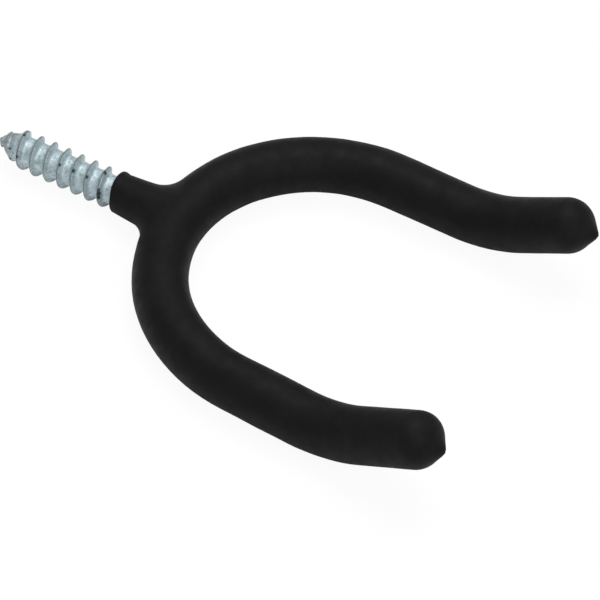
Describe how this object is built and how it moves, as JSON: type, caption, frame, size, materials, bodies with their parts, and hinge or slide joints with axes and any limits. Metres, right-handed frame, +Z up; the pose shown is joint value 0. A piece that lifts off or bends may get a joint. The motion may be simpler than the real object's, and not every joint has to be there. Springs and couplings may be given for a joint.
{
  "type": "screw-in utility hook",
  "caption": "U-shaped, vinyl-dipped steel fork with raised tips on a zinc-plated lag screw, for hanging tools, hoses or bikes on a wall stud.",
  "frame": {"origin": "on the screw's axis, in the middle of the coating's rim, where the wall's face comes", "axes": "+X along the screw's axis out of the wall, +Y sideways towards the left arm, +Z up, the way the tips rise"},
  "size_m": [0.1158, 0.0741, 0.0209],
  "materials": {
    "black_vinyl": "matte black dipped vinyl",
    "bare_steel": "plain mild steel under the coating",
    "zinc_plated_steel": "bright zinc plating, slightly blue"
  },
  "bodies": {
    "root": {"vinyl_coating": "black_vinyl", "fork_rod": "bare_steel", "weld_bead": "bare_steel", "lag_screw": "zinc_plated_steel"}
  },
  "joints": []
}
